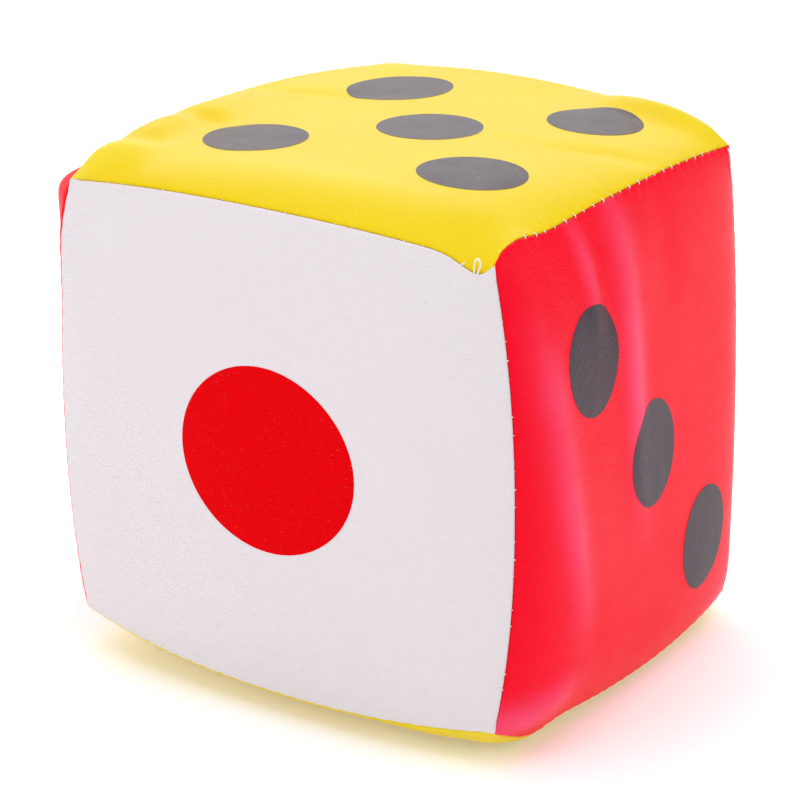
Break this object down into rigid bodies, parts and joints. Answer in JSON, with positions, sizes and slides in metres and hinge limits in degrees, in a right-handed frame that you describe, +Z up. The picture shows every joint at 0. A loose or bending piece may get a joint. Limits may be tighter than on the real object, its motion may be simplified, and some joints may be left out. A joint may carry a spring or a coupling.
{
  "type": "giant yard dice",
  "caption": "Large soft throwing die for lawn games: coated-fabric panels with printed pips, sewn together and stuffed with foam.",
  "frame": {"origin": "on the floor under the middle of the die", "axes": "+Z up through the five, -Y out through the one, +X out through the three"},
  "size_m": [0.15, 0.15, 0.147],
  "materials": {
    "foam": "soft open-cell foam",
    "white_vinyl": "glossy PVC coating over a fine weave",
    "red_vinyl": "glossy PVC coating over a fine weave",
    "yellow_vinyl": "glossy PVC coating over a fine weave",
    "red_ink": "glossy screen-printed ink",
    "black_ink": "glossy screen-printed ink",
    "thread": "spun polyester sewing thread"
  },
  "bodies": {
    "root": {"foam_core": "foam", "panel_front_one": "white_vinyl", "panel_back_six": "white_vinyl", "panel_right_three": "red_vinyl", "panel_left_four": "red_vinyl", "panel_top_five": "yellow_vinyl", "panel_bottom_two": "yellow_vinyl", "print_front_one": "red_ink", "print_back_six": "black_ink", "print_right_three": "black_ink", "print_left_four": "black_ink", "print_top_five": "black_ink", "print_bottom_two": "black_ink", "thread_top_front": "thread", "thread_top_right": "thread", "thread_top_back": "thread", "thread_top_left": "thread", "thread_bottom_front": "thread", "thread_bottom_right": "thread", "thread_bottom_back": "thread", "thread_bottom_left": "thread", "thread_front_right": "thread", "thread_right_back": "thread", "thread_back_left": "thread", "thread_left_front": "thread"}
  },
  "joints": []
}
